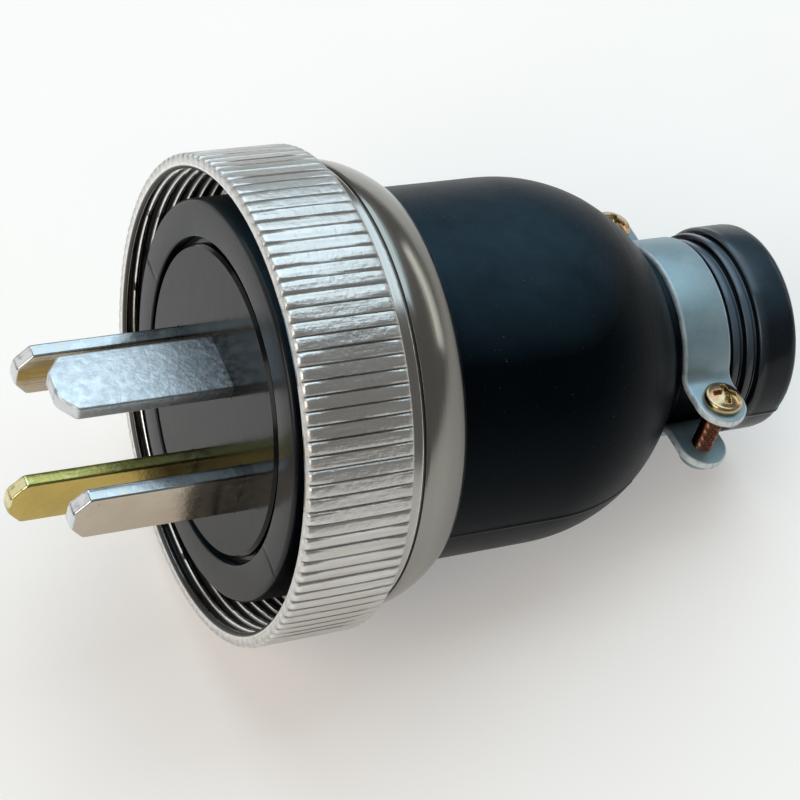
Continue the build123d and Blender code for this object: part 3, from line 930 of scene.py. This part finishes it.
# Wear and painted highlight: the strip's marked edges turn almost white
colour = blended(tree, edges, colour, zinc_edge_wear_and_highlight)
chalky = ranged(tree, edges, 0.0, 1.0, 0.55, 0.0)
dull = ranged(tree, cloudy, 0.0, 1.0, 0.40, 0.50)
feed(tree, shader, Base_Color=colour, Metallic=chalky, Roughness=dull)
relief(tree, shader, cloudy, strength=0.15, distance=0.0001)
thread_collars = [(collar_rings(side), True) for side in (-ear_screw, ear_screw)]
for side, below, collars in (("upper", False, []), ("lower", True, thread_collars)):
    rings, edge = saddle_rings(below)
    strip = skin("clamp_strip_" + side, (rings, False), *collars)
    mark(strip, "edge", edge, *[np.zeros(collar.shape[:2]) for collar, joined in collars])
    dress(strip, bright_zinc)
    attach(strip, "plug")
    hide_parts("clamp_saddle_" + side)

# Clamp screws
# Pan head screws of yellow-passivated steel with a cross recess, driven down through the ears and into the
# lower saddle's collars.
screw_seat = ear_height + strip_thickness / 2
head_radius = 2.75
head_height = 2.0
head_roll = 0.45
head_crown = 0.14
head_side = 0.62
screw_radius = 1.5
screw_length = 12.6
screw_pitch = 0.5
plain_shank = 1.3
screw_point = 0.9
screw_thread_depth = 0.25
recess_reach = 1.6
recess_half_width = 0.36
recess_depth = 1.1
recess_shelving = 0.35
recess_end_slope = 0.16
recess_side_slope = 0.09


def soft_step(value, middle, half):
    """1 well below the middle, 0 well above it, with a smooth slope between."""
    t = np.clip((middle + half - value) / (2 * half), 0, 1)
    return t * t * (3 - 2 * t)


def recess_bar(lengthwise, crosswise):
    """One bar of the cross: 1 inside its length and its half width, 0 outside, with soft slopes."""
    inside = soft_step(lengthwise, recess_reach, recess_end_slope)
    return inside * soft_step(crosswise, recess_half_width, recess_side_slope)


def screw_rings(across, cross_turn):
    """Turned outline, from the middle of the head out to its rim, under it, and down the shank. The top is
    sunk inside a cross of two bars, and the shank's radius dips in a helix."""
    turn = np.linspace(0, 2 * pi, 96, endpoint=False)
    top_edge = head_radius - head_roll
    top = np.concatenate([[0.02], np.linspace(0.08, 1.85, 28), np.linspace(1.95, top_edge, 4)])
    top_height = head_height - head_crown * top**2
    roll = np.linspace(radians(15), pi / 2, 6)
    rim_radius = top_edge + head_roll * np.sin(roll)
    rim_height = top_height[-1] - head_side * (1 - np.cos(roll))
    under_radius = np.array([head_radius, head_radius - 0.07, head_radius - 0.2, screw_radius])
    under_height = np.array([0.22, 0.04, 0, 0])
    shank = np.linspace(-0.1, 1.2 - screw_length, 150)
    point_radius = np.array([1.25, 0.8, 0.3])
    point_height = np.array([0.5, 0.05, 0]) - screw_length
    shank_radius = np.full(len(shank), screw_radius)
    radius = np.concatenate([top, rim_radius, under_radius, shank_radius, point_radius])
    height = np.concatenate([top_height, rim_height, under_height, shank, point_height])
    radius = np.repeat(radius[:, None], len(turn), axis=1)
    height = np.repeat(height[:, None], len(turn), axis=1)
    first = np.abs(radius * np.cos(turn + cross_turn))
    second = np.abs(radius * np.sin(turn + cross_turn))
    shelving = np.clip(1 - recess_shelving * radius / recess_reach, 0, 1)
    sunk = recess_depth * np.maximum(recess_bar(first, second), recess_bar(second, first)) * shelving
    is_top = np.arange(len(radius))[:, None] < len(top)
    height = height - np.where(is_top, sunk, 0.0)
    phase = np.mod(height / screw_pitch + turn / (2 * pi), 1.0)
    on_thread = (height < -plain_shank) & (height > screw_point - screw_length)
    radius = radius - np.where(on_thread, screw_thread_depth * (1 - np.abs(2 * phase - 1)), 0.0)
    station = strip_middle + radius * np.cos(turn)
    return clamp_place(station, across + radius * np.sin(turn), screw_seat + height)


deep_gold = (0.46, 0.34, 0.14, 1)
pale_gold = (0.52, 0.45, 0.31, 1)
red_blush = (0.38, 0.12, 0.06, 1)
shank_below_ear_red = (0.17, 0.05, 0.035, 1)
yellow_zinc, tree, shader = finish_named("yellow zinc", Metallic=1.0)
spot_on = use(tree, plug_place)["Place"]
cloudy = mask_of(tree, stains, spot_on, Size=1.6, Level=0.5, Softness=0.22)
blush = mask_of(tree, stains, spot_on, Size=2.2, Level=0.56, Softness=0.12)
colour = blended(tree, cloudy, deep_gold, pale_gold)
colour = blended(tree, times(tree, blush, 0.8), colour, red_blush)
# The shank below the ear turns dark red-brown
below_ear = ranged(tree, parts_of(tree, spot_on)[2], ear_lift, ear_height, 0.8, 0.0)
colour = blended(tree, below_ear, colour, shank_below_ear_red)
feed(tree, shader, Base_Color=colour, Roughness=ranged(tree, cloudy, 0.0, 1.0, 0.18, 0.30))
for name, side, cross_turn in (("left", ear_screw, 0.5), ("right", -ear_screw, 0.25)):
    driven = skin("clamp_screw_driven_" + name, (screw_rings(side, cross_turn), False))
    dress(driven, yellow_zinc)
    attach(driven, "plug")
    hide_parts("clamp_screw_" + name)

# Floor and studio
# A pale floor under the plug, a wide cool lamp like a window above it, weak lamps on the blade side, the far
# side and behind the tail, and even light all round. The floor is lifted alike for the camera and for what
# metal shows, and its shadow stays.
floor_half = 3.0
floor_lift = 0.27
room_light = 0.22
floor_warm = (0.82, 0.76, 0.71, 1)
floor_pale = (0.86, 0.80, 0.75, 1)
corner = floor_half * np.array([(-1, -1, 0), (1, -1, 0), (1, 1, 0), (-1, 1, 0)])
floor_mesh = bpy.data.meshes.new("studio_floor")
floor_mesh.from_pydata(corner, [], [(0, 1, 2, 3)])
floor = bpy.data.objects.new("studio_floor", floor_mesh)
bpy.context.scene.collection.objects.link(floor)
pale_floor, tree, shader = finish_named(
    "pale floor", Roughness=1.0, Specular_IOR_Level=0.0, Emission_Color=(1, 1, 1, 1)
)
here = wire(tree, "ShaderNodeTexCoord").outputs["Object"]
colour = blended(tree, cloud_at(tree, here, 30.0, 4.0), floor_warm, floor_pale)
seen = wire(tree, "ShaderNodeLightPath").outputs
shown = maths(tree, "MAXIMUM", seen["Is Camera Ray"], seen["Is Transmission Ray"])
shown = maths(tree, "MAXIMUM", shown, seen["Is Glossy Ray"])
feed(tree, shader, Base_Color=colour, Emission_Strength=times(tree, shown, floor_lift))
dress(floor, pale_floor)

room = bpy.data.worlds.new("studio room")
bpy.context.scene.world = room
room.use_nodes = True
background = room.node_tree.nodes["Background"]
background.inputs["Color"].default_value = (1.0, 0.98, 0.95, 1)
background.inputs["Strength"].default_value = room_light


def soft_lamp(name, watts, width, length, colour, spot, target, lengthwise=(0.0, 1.0, 0.01)):
    """Flat lamp at a spot, its face turned to the target and its length lying as near as can be to the
    lengthwise direction."""
    light = bpy.data.lights.new(name, "AREA")
    light.shape = "RECTANGLE"
    light.energy = watts
    light.size = width
    light.size_y = length
    light.color = colour
    lamp = bpy.data.objects.new(name, light)
    spot, target = np.array(spot), np.array(target)
    back = (spot - target) / np.linalg.norm(spot - target)
    right = np.cross(lengthwise, back)
    right /= np.linalg.norm(right)
    turn = np.stack([right, np.cross(back, right), back], -1)
    lamp.matrix_world = Matrix.Translation(spot) @ Matrix(turn.tolist()).to_4x4()
    bpy.context.scene.collection.objects.link(lamp)


plug_middle = (0.0, 0.0, 0.03)
soft_lamp("window lamp", 7.6, 1.1, 1.1, (0.68, 0.87, 1.0), (0.25, 0.40, 0.83), plug_middle)
soft_lamp("blade side lamp", 3.0, 0.6, 0.6, (1.0, 0.93, 0.84), (-0.70, -0.30, 0.60), plug_middle)
soft_lamp("far side lamp", 1.1, 0.7, 0.7, (1.0, 0.98, 0.95), (-0.78, 0.62, 0.52), plug_middle)
strip_lie = (-0.15, 0.96, 0.25)
soft_lamp("tail strip lamp", 0.5, 0.14, 0.55, (0.95, 1.0, 0.95), (0.80, 0.15, 0.215), plug_middle, strip_lie)

# Camera at the photograph's viewing angle
camera_spot = place(-109.875, -178.529, 227.164)
camera_right = np.array([0.89325, -0.37603, 0.24640]) @ plug_axes
camera_forward = np.array([0.42912, 0.54974, -0.71669]) @ plug_axes
camera_up = np.cross(camera_right, camera_forward)
lens = bpy.data.cameras.new("photo camera")
lens.lens = 108.0
lens.sensor_width = 36.0
lens.clip_start = 0.01
camera = bpy.data.objects.new("photo camera", lens)
turn = np.stack([camera_right, camera_up, -camera_forward], -1)
camera.matrix_world = Matrix.Translation(camera_spot) @ Matrix(turn.tolist()).to_4x4()
bpy.context.scene.collection.objects.link(camera)
bpy.context.scene.camera = camera
bpy.context.scene.view_settings.view_transform = "Standard"
